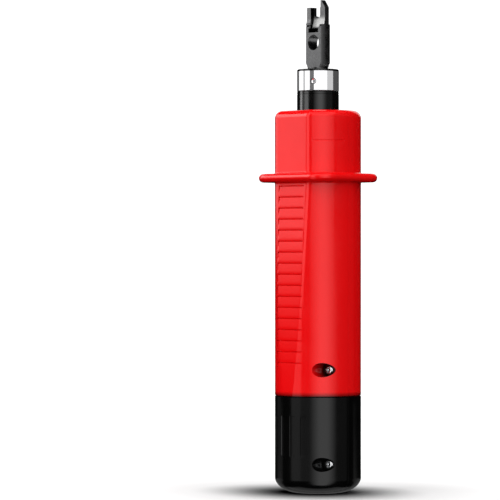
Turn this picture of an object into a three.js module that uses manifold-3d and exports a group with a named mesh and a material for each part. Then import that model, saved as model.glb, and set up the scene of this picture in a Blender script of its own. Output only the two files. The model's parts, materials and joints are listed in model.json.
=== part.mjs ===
// Impact punch down tool, standing on its end cap with the blade up.
// Millimetres, +Z along the tool towards the blade, origin at the centre of the cap's bottom face.
// The grip's flats face -Y and +Y, and the housing and the cap split on the plane Y = 0.
import * as THREE from 'three';
import { mergeVertices } from 'three/addons/utils/BufferGeometryUtils.js';
import Module from 'manifold-3d';

const wasm = await Module();
wasm.setup();

// Levels along the axis
const capTop = 37.65;
const bodyBottom = 37.85;
const bodyTop = 148.8;
const sleeveTop = 156.25;
const collarBottom = 156.4;
const collarTop = 163.95;
const endRingBottom = 164.05;
const endRingTop = 164.75;
const tipTop = 191.75;

// Housing
const bodyRadius = 16.77;
const bodyEdgeRadius = 2.6;
const flatDepthAtTop = 14.2;
const flatSlope = 0.02875;
const flatFlareStart = 121.1;
const splitGap = 0.05;
const flangeLevel = 122.4;
const flangeThickness = 3.35;
const flangeHalfX = 20;
const flangeHalfY = 17.2;
const flangeCorner = 7.8;
const ribCount = 17;
const ribPitch = 4.27;
const ribTopLevel = 119.4;
const ribDepth = 0.7;
const ribLength = 3.2;
const ribHalfWidth = 6.8;
const sideLineLevel = 136.7;
const sideLineDepth = 0.15;
const sideLineHalfHeight = 0.2;
const sideLineStartX = 8;
const sideLineEndY = -1.5;

// Housing inside: chamber radii and the levels where they change
const neckRadius = 12.5;
const neckBottom = 27;
const neckGrooveRadius = 11.3;
const neckGrooveBottom = 30;
const neckGrooveTop = 33;
const neckChamberRadius = 9;
const webBottom = 33;
const webTop = 36.5;
const rodHoleRadius = 4.6;
const springChamberRadius = 8.8;
const camPocketRadius = 11.4;
const camPocketBottom = 93.8;
const camPocketTop = 110.2;
const frontChamberRadius = 9.9;
const bushingPocketRadius = 10.6;
const bushingPocketBottom = 137.7;
const bushingPocketTop = 147.2;
const noseHoleRadius = 8.35;
const keySlotHalfWidth = 1.7;
const keySlotDepth = 10.9;
const keySlotBottom = 46.2;
const keySlotTop = 56.2;

// Screws, one from each side of the housing and of the cap
const screwOffsetX = 12.85;
const bodyScrewLevel = 48.2;
const capScrewLevel = 11.8;
const screwRecessRadius = 2.72;
const screwRecessFloor = -6.5;
const screwHeadRadius = 2.1;
const screwHeadFace = -7.15;
const screwHeadSeat = -5.4;
const screwShankRadius = 1.25;
const screwTip = 6.6;
const screwClearance = 0.1;
const crossHalfLength = 1.25;
const crossHalfWidth = 0.3;
const crossDepth = 1;

// Cap
const capRadius = 16.77;
const capEdgeRadius = 6.5;
const capBoreRadius = 12.8;
const capBoreFloor = 26.7;
const capRibRadius = 11.6;
const capRibBottom = 30.3;
const capRibTop = 32.7;
const capGrooveCount = 4;
const capGrooveDegrees = 16.8;
const capGrooveBottom = 14.8;
const capGrooveTop = 30.3;
const capGrooveDepth = 0.35;
const capGrooveWidth = 2.6;

// Plunger: spindle, sleeve, collar and blade
const spindleRadius = 5.5;
const spindleTop = 163.65;
const spindleFlangeRadius = 9.6;
const spindleFlangeBottom = 134.7;
const spindleFlangeTop = 137.4;
const socketRadius = 4.1;
const socketFloor = 150.6;
const strikerPinRadius = 2.2;
const strikerPinEnd = 108.35;
const sleeveRadius = 8.15;
const sleeveBottom = 141;
const sleeveGrooveLevels = [154.85, 155.6];
const sleeveGrooveDepth = 0.2;
const collarRadius = 8.15;
const collarChamfer = 0.15;
const ringFit = 5.65;
const endRingInner = 4.6;
const endRingEdge = 0.55;
const clipBottom = 139.9;
const clipTop = 140.8;
const clipGrooveRadius = 5.1;
const clipRadius = 7.4;
const clipGapStart = 3;
const clipGapHalfWidth = 1.6;
const bayonetLevel = 159.9;
const bayonetAngle = -58;
const bayonetPinRadius = 1.1;
const bayonetPinReach = 2.95;
const bayonetPinSink = 0.05;
const bayonetClearance = 0.1;
const bayonetTrackFloor = 2.7;
const bayonetTrackClearance = 0.2;

// Blade
const shankRadius = 3.95;
const shankBottom = 150.9;
const shankChamfer = 0.5;
const bladeNeckRadius = 4.22;
const bladeNeckTop = 166.6;
const bladeNeckTaper = 0.65;
const bladeRadius = 4.8;
const bladeShoulder = 182.5;
const bladeHalfThickness = 2.55;
const bladeFlatBottom = 165.5;
const bladeHoleRadius = 3;
const bladeHoleLevel = 175.2;
const forkHalfWidth = 4.08;
const forkFrontY = -1.99;
const forkMidY = -0.12;
const forkRearY = 1.95;
const leftProngInner = -2.03;
const slotLeft = -1.68;
const leftProngRear = 0.94;
const leftProngTop = 188.9;
const rightProngInner = 1.25;
const rightProngTop = 189.3;
const cutterInner = 1.65;
const cutterStep = 189;
const slotFloor = 185.3;
const pocketLeft = -2.9;
const pocketRight = 2.5;
const pocketFloor = 179.6;
const pocketStep = 181.1;
const pocketSideTop = 181.9;
const pocketLean = 0.5;

// Impact mechanism
const hammerRadius = 8.5;
const hammerBottom = 86;
const hammerTop = 116;
const hammerBore = 2.7;
const hammerBoreFloor = 95;
const tripSlotBottom = 104.7;
const tripSlotTop = 108.2;
const tripSlotEnd = -6.4;
const tripPlateBottom = 105;
const tripPlateTop = 108;
const tripTravel = 1.5;
const tripPlateHalfWidth = 3;
const tripPlateEnd = -4.6;
const tripHoleRadius = 2.55;
const plungerTravel = 9;
const camOuterRadius = 11.25;
const camBottom = 94;
const camTop = 110;
const camWall = 0.9;
const hammerChamfer = 0.6;
const tripSpringPocketRadius = 1.35;
const tripSpringPocketDepth = 1.2;
const tripSpringWire = 0.2;
const tripSpringCoil = 0.95;
const tripSpringTurns = 3.5;

// Springs, bushing and washers
const mainSpringWire = 0.9;
const mainSpringCoil = 7;
const mainSpringBottom = 52.3;
const mainSpringTop = 85.7;
const mainSpringTurns = 7;
const returnSpringWire = 0.45;
const returnSpringCoil = 4.2;
const returnSpringBottom = 116.2;
const returnSpringTop = 134.5;
const returnSpringTurns = 6;
const bushingInner = 8.3;
const bushingOuter = 10.4;
const bushingBottom = 139.4;
const bushingTop = 147;
const bumperInner = 8.4;
const bumperBottom = 137.85;
const bumperTop = 139.2;
const thrustInner = 4.3;
const thrustOuter = 8.6;
const thrustBottom = 31.5;
const thrustTop = 32.8;

// Force adjuster
const seatRadius = 8.5;
const seatBottom = 47;
const seatTop = 52;
const seatHubRadius = 5.4;
const seatHubTop = 56;
const seatKeyReach = 10.6;
const seatKeyHalfWidth = 1.4;
const rodRadius = 4;
const rodTop = 61;
const adjusterFlangeRadius = 8.5;
const adjusterFlangeBottom = 28.9;
const adjusterFlangeTop = 31.3;
const rodChamfer = 0.6;
const rodFit = 0.15;
const driveAcross = 10;
const driveClearance = 0.3;
const driveBottom = 15.3;
const driveFloor = 15;

const fine = 48;
const medium = 32;
const small = 16;

// Longer than the tool is wide, for cuts that go right through.
const far = 60;

// A solid from a closed three.js geometry, without the slivers that a lathe leaves on its axis.
function solid(geometry) {
  const bare = geometry.clone();
  bare.deleteAttribute('normal');
  bare.deleteAttribute('uv');
  const merged = mergeVertices(bare, 1e-4);
  const index = merged.index.array;
  const kept = [];
  for (let i = 0; i < index.length; i += 3) {
    const [a, b, c] = [index[i], index[i + 1], index[i + 2]];
    if (a !== b && b !== c && c !== a) kept.push(a, b, c);
  }
  return new wasm.Manifold(new wasm.Mesh({
    numProp: 3,
    vertProperties: new Float32Array(merged.attributes.position.array),
    triVerts: new Uint32Array(kept),
  }));
}

// A solid of revolution about Z. Its profile holds [radius, level] pairs, upwards on the outside.
function turned(profile, segments) {
  const points = profile.map(([radius, level]) => new THREE.Vector2(radius, level));
  return solid(new THREE.LatheGeometry(points, segments).rotateX(Math.PI / 2));
}

// A ring of rectangular section about Z.
function ring(inner, outer, bottom, top, segments) {
  return turned([[inner, bottom], [outer, bottom], [outer, top], [inner, top], [inner, bottom]], segments);
}

// A plain cylinder about Z.
function disc(radius, bottom, top, segments) {
  return turned([[0, bottom], [radius, bottom], [radius, top], [0, top]], segments);
}

// A box between two corners.
function block([x0, y0, z0], [x1, y1, z1]) {
  const box = new THREE.BoxGeometry(x1 - x0, y1 - y0, z1 - z0);
  return solid(box.translate((x0 + x1) / 2, (y0 + y1) / 2, (z0 + z1) / 2));
}

// A cylinder along Y at a place in X and Z.
function crossRod(radius, x, z, yStart, yEnd, segments) {
  const rod = new THREE.CylinderGeometry(radius, radius, yEnd - yStart, segments);
  return solid(rod.translate(x, (yStart + yEnd) / 2, z));
}

// An outline in Y and Z, pushed along X from one place to another.
function alongX(points, xStart, xEnd) {
  const shape = new THREE.Shape(points.map(([y, z]) => new THREE.Vector2(y, z)));
  const body = new THREE.ExtrudeGeometry(shape, { depth: xEnd - xStart, bevelEnabled: false });
  const turn = new THREE.Matrix4().makeBasis(
    new THREE.Vector3(0, 1, 0), new THREE.Vector3(0, 0, 1), new THREE.Vector3(1, 0, 0));
  return solid(body.applyMatrix4(turn).translate(xStart, 0, 0));
}

// The points of a quarter round, from one angle to another in degrees.
function arcPoints(centreA, centreB, radius, from, to, steps) {
  const points = [];
  for (let i = 0; i <= steps; i += 1) {
    const angle = THREE.MathUtils.degToRad(from + (to - from) * i / steps);
    points.push([centreA + radius * Math.cos(angle), centreB + radius * Math.sin(angle)]);
  }
  return points;
}

function turnZ(body, degrees) {
  return body.rotate([0, 0, degrees]);
}

// How far the grip's flat lies from the axis at a level. It leans out towards the cap.
function flatDepth(level) {
  return flatDepthAtTop + flatSlope * Math.max(0, flatFlareStart - level);
}

// Housing ------------------------------------------------------------------------------------

// The outline of the grip seen along X: both flats, with rounded top edges.
function flatOutline() {
  const side = [bodyBottom, flatFlareStart].map((level) => [flatDepth(level), level]);
  const edge = arcPoints(flatDepthAtTop - bodyEdgeRadius, bodyTop - bodyEdgeRadius,
    bodyEdgeRadius, 0, 90, 5);
  const half = [...side, ...edge];
  const mirrored = half.map(([y, z]) => [-y, z]).reverse();
  return [...half, ...mirrored];
}

function gripSolid() {
  const edge = arcPoints(bodyRadius - bodyEdgeRadius, bodyTop - bodyEdgeRadius, bodyEdgeRadius, 0, 90, 5);
  const round = turned([[0, bodyBottom], [bodyRadius, bodyBottom], ...edge, [0, bodyTop]], fine);
  return round.intersect(alongX(flatOutline(), -far, far));
}

// The guard flange: a rounded rectangle with a round edge.
function flangeSolid() {
  const bevel = flangeThickness / 2;
  const [hx, hy, r] = [flangeHalfX - bevel, flangeHalfY - bevel, flangeCorner - bevel];
  const shape = new THREE.Shape();
  shape.moveTo(hx, -hy + r);
  shape.lineTo(hx, hy - r);
  shape.absarc(hx - r, hy - r, r, 0, Math.PI / 2);
  shape.lineTo(-hx + r, hy);
  shape.absarc(-hx + r, hy - r, r, Math.PI / 2, Math.PI);
  shape.lineTo(-hx, -hy + r);
  shape.absarc(-hx + r, -hy + r, r, Math.PI, Math.PI * 1.5);
  shape.lineTo(hx - r, -hy);
  shape.absarc(hx - r, -hy + r, r, Math.PI * 1.5, Math.PI * 2);
  const plate = new THREE.ExtrudeGeometry(shape, {
    depth: 0.02, bevelSize: bevel, bevelThickness: bevel - 0.01, bevelSegments: 5, curveSegments: 8,
  });
  return solid(plate.translate(0, 0, flangeLevel - 0.01));
}

// The neck under the grip that the cap turns on, with the groove for the cap's rib.
function neckSolid() {
  return turned([
    [0, neckBottom], [neckRadius, neckBottom], [neckRadius, neckGrooveBottom],
    [neckGrooveRadius, neckGrooveBottom], [neckGrooveRadius, neckGrooveTop],
    [neckRadius, neckGrooveTop], [neckRadius, bodyBottom + 1], [0, bodyBottom + 1],
  ], medium);
}

// The hollow that holds the mechanism, from the neck to the nose.
function housingHollow() {
  return turned([
    [0, neckBottom - 1], [neckChamberRadius, neckBottom - 1], [neckChamberRadius, webBottom],
    [rodHoleRadius, webBottom], [rodHoleRadius, webTop], [springChamberRadius, webTop],
    [springChamberRadius, camPocketBottom], [camPocketRadius, camPocketBottom],
    [camPocketRadius, camPocketTop], [frontChamberRadius, camPocketTop],
    [frontChamberRadius, bushingPocketBottom], [bushingPocketRadius, bushingPocketBottom],
    [bushingPocketRadius, bushingPocketTop], [noseHoleRadius, bushingPocketTop],
    [noseHoleRadius, bodyTop + 1], [0, bodyTop + 1],
  ], medium);
}

// One notch of the ribbed grip: deep at its top edge and running out to the flat at its bottom.
function ribNotch(index) {
  const top = ribTopLevel - ribPitch * index;
  const bottom = top - ribLength;
  const floor = -flatDepth(top) + ribDepth;
  return alongX([[-far / 2, top], [-far / 2, bottom], [-flatDepth(bottom), bottom], [floor, top]],
    -ribHalfWidth, ribHalfWidth);
}

// A fine moulded line across the rounded side at +X.
function sideLine() {
  const low = sideLineLevel - sideLineHalfHeight;
  const high = sideLineLevel + sideLineHalfHeight;
  const band = ring(bodyRadius - sideLineDepth, far, low, high, fine);
  return band.intersect(block([sideLineStartX, -bodyRadius, low - 1], [far, sideLineEndY, high + 1]));
}

// The recess, the head's seat and the hole of the screw that enters from -Y, and the blind hole
// for the tip of the screw that comes from the other side.
function screwHoles(level) {
  const recess = crossRod(screwRecessRadius, screwOffsetX, level, -far, screwRecessFloor, small);
  const seat = crossRod(screwHeadRadius + screwClearance, screwOffsetX, level, -far,
    screwHeadSeat + screwClearance, small);
  const hole = screwShankRadius + screwClearance;
  const through = crossRod(hole, screwOffsetX, level, -far, 1, small);
  const blind = crossRod(hole, -screwOffsetX, level, -screwTip - 3 * screwClearance, 1, small);
  return recess.add(seat).add(through).add(blind);
}

function housingHalf() {
  let half = gripSolid().add(flangeSolid()).add(neckSolid());
  half = half.subtract(housingHollow());
  half = half.subtract(block(
    [-keySlotHalfWidth, -keySlotDepth, keySlotBottom], [keySlotHalfWidth, 0, keySlotTop]));
  for (let i = 0; i < ribCount; i += 1) half = half.subtract(ribNotch(i));
  half = half.subtract(sideLine()).subtract(screwHoles(bodyScrewLevel));
  return half.intersect(block([-far, -far, 0], [far, -splitGap, tipTop]));
}

// Cap ----------------------------------------------------------------------------------------

function hexagon(across, bottom, top) {
  const prism = new THREE.CylinderGeometry(across / Math.sqrt(3), across / Math.sqrt(3), top - bottom, 6);
  return solid(prism.rotateX(Math.PI / 2).translate(0, 0, (bottom + top) / 2));
}

function capHalf() {
  const corner = arcPoints(capRadius - capEdgeRadius, capEdgeRadius, capEdgeRadius, -90, 0, 7);
  let half = turned([[0, 0], ...corner, [capRadius, capTop], [0, capTop]], fine);
  half = half.subtract(turned([
    [0, capBoreFloor], [capBoreRadius, capBoreFloor], [capBoreRadius, capRibBottom],
    [capRibRadius, capRibBottom], [capRibRadius, capRibTop], [capBoreRadius, capRibTop],
    [capBoreRadius, capTop + 1], [0, capTop + 1],
  ], medium));
  half = half.subtract(hexagon(driveAcross + driveClearance, driveFloor, capBoreFloor + 1));
  for (let i = 0; i < capGrooveCount; i += 1) {
    const angle = capGrooveDegrees * (i - (capGrooveCount - 1) / 2);
    const groove = block(
      [-capGrooveWidth / 2, -far, capGrooveBottom],
      [capGrooveWidth / 2, capGrooveDepth - capRadius, capGrooveTop]);
    half = half.subtract(groove.rotate([0, 0, angle]));
  }
  half = half.subtract(screwHoles(capScrewLevel));
  return half.intersect(block([-far, -far, -1], [far, -splitGap, far]));
}

// A cross-head screw along Y, entering from -Y.
function screwSolid(level) {
  const head = crossRod(screwHeadRadius, screwOffsetX, level, screwHeadFace, screwHeadSeat, small);
  const shank = crossRod(screwShankRadius, screwOffsetX, level, screwHeadFace, screwTip, small);
  let screw = head.add(shank);
  for (const [a, b] of [[crossHalfLength, crossHalfWidth], [crossHalfWidth, crossHalfLength]]) {
    screw = screw.subtract(block([screwOffsetX - a, screwHeadFace - 1, level - b],
      [screwOffsetX + a, screwHeadFace + crossDepth, level + b]));
  }
  return screw;
}

// Plunger ------------------------------------------------------------------------------------

// A rod that points outwards from the axis at an angle about Z.
function radialRod(radius, start, end, level, degrees, segments) {
  const rod = new THREE.CylinderGeometry(radius, radius, end - start, segments);
  rod.rotateZ(-Math.PI / 2).translate((start + end) / 2, 0, level);
  return turnZ(solid(rod), degrees);
}

function bayonetHoles() {
  const clear = bayonetPinRadius + bayonetClearance;
  const front = radialRod(clear, 1, far, bayonetLevel, bayonetAngle, small);
  return front.add(radialRod(clear, 1, far, bayonetLevel, bayonetAngle + 180, small));
}

function spindleSolid() {
  const chamfer = 0.4;
  const clipGap = 0.1;
  const outer = turned([
    [0, strikerPinEnd], [strikerPinRadius - chamfer, strikerPinEnd],
    [strikerPinRadius, strikerPinEnd + chamfer],
    [strikerPinRadius, spindleFlangeBottom], [spindleFlangeRadius, spindleFlangeBottom],
    [spindleFlangeRadius, spindleFlangeTop], [spindleRadius, spindleFlangeTop],
    [spindleRadius, clipBottom - clipGap], [clipGrooveRadius, clipBottom - clipGap],
    [clipGrooveRadius, clipTop + clipGap], [spindleRadius, clipTop + clipGap],
    [spindleRadius, spindleTop], [0, spindleTop],
  ], medium);
  return outer.subtract(disc(socketRadius, socketFloor, spindleTop + 1, medium)).subtract(bayonetHoles());
}

function collarSolid() {
  const tube = turned([
    [ringFit, collarBottom], [collarRadius - collarChamfer, collarBottom],
    [collarRadius, collarBottom + collarChamfer], [collarRadius, collarTop],
    [ringFit, collarTop], [ringFit, collarBottom],
  ], fine);
  return tube.subtract(bayonetHoles());
}

// The thin black ring on the collar's end, with a rounded outer edge.
function endRingSolid() {
  const edge = arcPoints(collarRadius - endRingEdge, endRingTop - endRingEdge, endRingEdge, 0, 90, 4);
  return turned([
    [endRingInner, endRingBottom], [collarRadius, endRingBottom], ...edge,
    [endRingInner, endRingTop], [endRingInner, endRingBottom],
  ], fine);
}

// The black sleeve, with two fine grooves near its top.
function sleeveSolid() {
  const lean = 0.1;
  const height = 0.3;
  const bottomOfGroove = sleeveRadius - sleeveGrooveDepth;
  const profile = [[ringFit, sleeveBottom], [sleeveRadius, sleeveBottom]];
  for (const level of sleeveGrooveLevels) {
    profile.push([sleeveRadius, level], [bottomOfGroove, level + lean]);
    profile.push([bottomOfGroove, level + height - lean], [sleeveRadius, level + height]);
  }
  profile.push([sleeveRadius, sleeveTop], [ringFit, sleeveTop], [ringFit, sleeveBottom]);
  return turned(profile, fine);
}

function clipSolid() {
  const body = ring(clipGrooveRadius + 0.1, clipRadius, clipBottom, clipTop, medium);
  return body.subtract(block([clipGapStart, -clipGapHalfWidth, clipBottom - 1],
    [far, clipGapHalfWidth, clipTop + 1]));
}

function pinSolid(degrees) {
  return radialRod(bayonetPinRadius, bayonetPinReach, collarRadius - bayonetPinSink, bayonetLevel,
    degrees, small);
}

// The quarter-turn groove round the shank and the slot that lets a pin in from below.
function bayonetTrack(degrees) {
  const halfWidth = bayonetPinRadius + bayonetTrackClearance;
  const reach = shankRadius + 2;
  const margin = Math.asin(halfWidth / shankRadius);
  const start = THREE.MathUtils.degToRad(degrees - 90) - margin;
  const end = THREE.MathUtils.degToRad(degrees) + margin;
  const sector = new THREE.Shape();
  sector.moveTo(0, 0);
  sector.absarc(0, 0, reach, start, end);
  sector.lineTo(0, 0);
  const wedge = new THREE.ExtrudeGeometry(sector, {
    depth: halfWidth * 2, bevelEnabled: false, curveSegments: 12,
  });
  const core = disc(bayonetTrackFloor, shankBottom, bayonetLevel + 2 * halfWidth, small);
  const groove = solid(wedge.translate(0, 0, bayonetLevel - halfWidth)).subtract(core);
  const slot = turnZ(block([bayonetTrackFloor, -halfWidth, shankBottom - 1],
    [reach, halfWidth, bayonetLevel]), degrees - 90);
  return groove.add(slot);
}

// Blade --------------------------------------------------------------------------------------

// What is cut from the top of the blade to leave the two prongs of the fork.
function forkCuts() {
  const high = tipTop + 1;
  const wide = 6;
  const outside = block([-wide, -wide, bladeShoulder], [wide, wide, high])
    .subtract(block([-forkHalfWidth, forkFrontY, bladeShoulder - 1], [forkHalfWidth, forkRearY, high + 1]));
  const slot = block([slotLeft, -wide, slotFloor], [rightProngInner, wide, high]);
  const frontRight = alongX([
    [-wide, high], [-wide, pocketStep], [forkMidY - pocketLean, pocketStep],
    [forkMidY, slotFloor], [forkMidY, high],
  ], leftProngInner, wide);
  const pocket = block([pocketLeft, -wide, pocketFloor], [pocketRight, forkMidY + pocketLean, pocketStep]);
  const pocketSide = block([pocketLeft, -wide, pocketFloor], [leftProngInner, forkMidY, pocketSideTop]);
  const leftBack = block([-wide, leftProngRear, bladeShoulder], [slotLeft, wide, high]);
  const leftTop = block([-wide, -wide, leftProngTop], [rightProngInner, wide, high]);
  const cutterSide = block([0, -wide, cutterStep], [cutterInner, wide, high]);
  const bevel = alongX([[forkMidY, tipTop], [forkRearY, rightProngTop], [wide, rightProngTop],
    [wide, high], [forkMidY, high]], 0, wide);
  return [outside, slot, frontRight, pocket, pocketSide, leftBack, leftTop, cutterSide, bevel];
}

function bladeSolid() {
  const round = turned([
    [0, shankBottom], [shankRadius - shankChamfer, shankBottom],
    [shankRadius, shankBottom + shankChamfer], [shankRadius, bladeFlatBottom],
    [bladeNeckRadius, bladeFlatBottom + 0.1], [bladeNeckRadius, bladeNeckTop],
    [bladeRadius, bladeNeckTop + bladeNeckTaper], [bladeRadius, tipTop], [0, tipTop],
  ], medium);
  const sides = block([-far, bladeHalfThickness, bladeFlatBottom], [far, far, tipTop + 1]);
  let blade = round.subtract(sides).subtract(turnZ(sides, 180));
  blade = blade.subtract(crossRod(bladeHoleRadius, 0, bladeHoleLevel, -far, far, medium));
  for (const cut of forkCuts()) blade = blade.subtract(cut);
  return blade.subtract(bayonetTrack(bayonetAngle)).subtract(bayonetTrack(bayonetAngle + 180));
}

// Mechanism ----------------------------------------------------------------------------------

// A coil spring about Z. Its wire is a section of a few sides, swept along a helix.
function coil(wireRadius, coilRadius, bottom, top, turns, sides, stepsPerTurn) {
  class Helix extends THREE.Curve {
    getPoint(t, target = new THREE.Vector3()) {
      const angle = t * turns * Math.PI * 2;
      const level = bottom + wireRadius + (top - bottom - 2 * wireRadius) * t;
      return target.set(coilRadius * Math.cos(angle), coilRadius * Math.sin(angle), level);
    }
  }
  const section = new THREE.Shape();
  for (let i = 0; i < sides; i += 1) {
    const angle = i / sides * Math.PI * 2;
    const [a, b] = [wireRadius * Math.cos(angle), wireRadius * Math.sin(angle)];
    if (i === 0) section.moveTo(a, b);
    else section.lineTo(a, b);
  }
  return solid(new THREE.ExtrudeGeometry(section, {
    steps: Math.round(turns * stepsPerTurn), extrudePath: new Helix(), bevelEnabled: false,
  }));
}

function hammerSolid() {
  const body = turned([
    [0, hammerBottom], [hammerRadius - hammerChamfer, hammerBottom],
    [hammerRadius, hammerBottom + hammerChamfer], [hammerRadius, hammerTop - hammerChamfer],
    [hammerRadius - hammerChamfer, hammerTop], [0, hammerTop],
  ], medium);
  const slotHalf = tripPlateHalfWidth + 0.2;
  const slot = block([tripSlotEnd, -slotHalf, tripSlotBottom], [far, slotHalf, tripSlotTop]);
  const springPocket = radialRod(tripSpringPocketRadius, 0, tripSpringPocketDepth - tripSlotEnd,
    (tripPlateBottom + tripPlateTop) / 2, 180, small);
  const bore = disc(hammerBore, hammerBoreFloor, hammerTop + 1, small);
  return body.subtract(bore).subtract(slot).subtract(springPocket);
}

// The plate that slides across the hammer, with its hole off centre until the cam pushes it.
function tripPlateSolid() {
  const endRadius = hammerRadius - 0.05;
  const plate = disc(endRadius, tripPlateBottom, tripPlateTop, medium).translate([tripTravel + 0.1, 0, 0]);
  const window = block([tripPlateEnd, -tripPlateHalfWidth, tripPlateBottom - 1],
    [far, tripPlateHalfWidth, tripPlateTop + 1]);
  const hole = disc(tripHoleRadius, tripPlateBottom - 1, tripPlateTop + 1, small);
  return plate.intersect(window).subtract(hole.translate([tripTravel, 0, 0]));
}

function tripSpringSolid() {
  const gap = 0.1;
  const start = tripSlotEnd - tripSpringPocketDepth + gap;
  const length = tripPlateEnd - gap - start;
  const spring = coil(tripSpringWire, tripSpringCoil, 0, length, tripSpringTurns, 4, 10);
  return spring.rotate([0, 90, 0]).translate([start, 0, (tripPlateBottom + tripPlateTop) / 2]);
}

// The sleeve whose taper pushes the trip plate to the centre as the hammer goes down.
function camSleeveSolid() {
  const wide = camOuterRadius - camWall;
  const slope = tripTravel / plungerTravel;
  const narrow = hammerRadius + 0.3;
  const taperTop = tripPlateBottom + 0.3;
  const taperBottom = taperTop - (wide - narrow) / slope;
  return turned([
    [narrow, camBottom], [camOuterRadius, camBottom], [camOuterRadius, camTop], [wide, camTop],
    [wide, taperTop], [narrow, taperBottom], [narrow, camBottom],
  ], medium);
}

function seatNutSolid() {
  const body = turned([
    [0, seatBottom], [seatRadius, seatBottom], [seatRadius, seatTop], [seatHubRadius, seatTop],
    [seatHubRadius, seatHubTop], [0, seatHubTop],
  ], medium);
  const key = block([-seatKeyHalfWidth, -seatKeyReach, seatBottom], [seatKeyHalfWidth, 0, seatTop]);
  const threadHole = disc(rodRadius + rodFit, seatBottom - 1, seatHubTop + 1, medium);
  return body.add(key).add(turnZ(key, 180)).subtract(threadHole);
}

function adjusterSolid() {
  const rod = turned([
    [0, adjusterFlangeBottom], [adjusterFlangeRadius, adjusterFlangeBottom],
    [adjusterFlangeRadius, adjusterFlangeTop], [rodRadius, adjusterFlangeTop],
    [rodRadius, rodTop - rodChamfer], [rodRadius - rodChamfer, rodTop], [0, rodTop],
  ], medium);
  return rod.add(hexagon(driveAcross, driveBottom, adjusterFlangeBottom + 1));
}

// Materials ----------------------------------------------------------------------------------

const redPlastic = { color: 0xd8141c, roughness: 0.32, metalness: 0 };
const blackPlastic = { color: 0x121212, roughness: 0.4, metalness: 0 };
const chrome = { color: 0xe6e6e8, roughness: 0.08, metalness: 1 };
const blackOxide = { color: 0x1c1c1e, roughness: 0.3, metalness: 0.6 };
const toolSteel = { color: 0x55565a, roughness: 0.32, metalness: 1 };
const springSteel = { color: 0x8a8c90, roughness: 0.3, metalness: 1 };
const zincSteel = { color: 0xc2c4c8, roughness: 0.28, metalness: 1 };
const acetal = { color: 0xe8e4da, roughness: 0.5, metalness: 0 };
const rubber = { color: 0x1a1a1a, roughness: 0.85, metalness: 0 };

const tool = new THREE.Group();

function addPiece(name, body, finish) {
  const mesh = body.getMesh();
  const geometry = new THREE.BufferGeometry();
  geometry.setAttribute('position', new THREE.BufferAttribute(mesh.vertProperties, 3));
  geometry.setIndex(new THREE.BufferAttribute(mesh.triVerts, 1));
  geometry.computeVertexNormals();
  const piece = new THREE.Mesh(geometry, new THREE.MeshStandardMaterial(finish));
  piece.name = name;
  tool.add(piece);
}

// A piece and its twin, turned half a turn about the tool's axis.
function addPair(name, body, finish) {
  addPiece(`${name}_front`, body, finish);
  addPiece(`${name}_rear`, turnZ(body, 180), finish);
}

addPair('housing', housingHalf(), redPlastic);
addPair('body_screw', screwSolid(bodyScrewLevel), zincSteel);
addPair('cap', capHalf(), blackPlastic);
addPair('cap_screw', screwSolid(capScrewLevel), zincSteel);
addPiece('spindle', spindleSolid(), toolSteel);
addPiece('nose_sleeve', sleeveSolid(), blackOxide);
addPiece('lock_collar', collarSolid(), chrome);
addPiece('end_ring', endRingSolid(), blackOxide);
addPiece('spindle_clip', clipSolid(), springSteel);
addPiece('bayonet_pin_front', pinSolid(bayonetAngle), zincSteel);
addPiece('bayonet_pin_rear', pinSolid(bayonetAngle + 180), zincSteel);
addPiece('blade', bladeSolid(), toolSteel);
addPiece('nose_bushing', ring(bushingInner, bushingOuter, bushingBottom, bushingTop, medium), acetal);
addPiece('bumper_washer', ring(bumperInner, bushingOuter, bumperBottom, bumperTop, medium), rubber);
addPiece('return_spring', coil(returnSpringWire, returnSpringCoil, returnSpringBottom, returnSpringTop,
  returnSpringTurns, 5, 12), springSteel);
addPiece('hammer', hammerSolid(), toolSteel);
addPiece('trip_plate', tripPlateSolid(), toolSteel);
addPiece('trip_spring', tripSpringSolid(), springSteel);
addPiece('cam_sleeve', camSleeveSolid(), toolSteel);
addPiece('main_spring', coil(mainSpringWire, mainSpringCoil, mainSpringBottom, mainSpringTop,
  mainSpringTurns, 6, 14), springSteel);
addPiece('spring_seat_nut', seatNutSolid(), zincSteel);
addPiece('adjuster_screw', adjusterSolid(), zincSteel);
addPiece('thrust_washer', ring(thrustInner, thrustOuter, thrustBottom, thrustTop, medium), acetal);

export default tool;
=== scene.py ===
"""The looks of the impact punch down tool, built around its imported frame.

Sizes here are millimetres in the tool's own frame, with +Z along the tool towards the blade.
mesh_object() turns them into metres. The grip's flats face -Y and +Y, and the housing and the
cap split on the plane Y = 0. A front piece faces -Y, and its rear twin is turned half a turn.
"""
import json
import math

import bmesh
import bpy
from mathutils import Matrix, Vector


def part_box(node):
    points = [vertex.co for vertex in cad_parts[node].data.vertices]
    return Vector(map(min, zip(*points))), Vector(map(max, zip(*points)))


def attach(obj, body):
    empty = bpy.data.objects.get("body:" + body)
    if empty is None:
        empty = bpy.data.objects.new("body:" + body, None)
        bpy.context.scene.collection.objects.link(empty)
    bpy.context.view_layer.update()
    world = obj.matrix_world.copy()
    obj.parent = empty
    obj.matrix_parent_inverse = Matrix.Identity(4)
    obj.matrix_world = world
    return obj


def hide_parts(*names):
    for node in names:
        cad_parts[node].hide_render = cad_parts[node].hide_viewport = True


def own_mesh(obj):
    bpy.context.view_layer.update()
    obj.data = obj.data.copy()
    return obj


MM = 0.001

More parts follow.
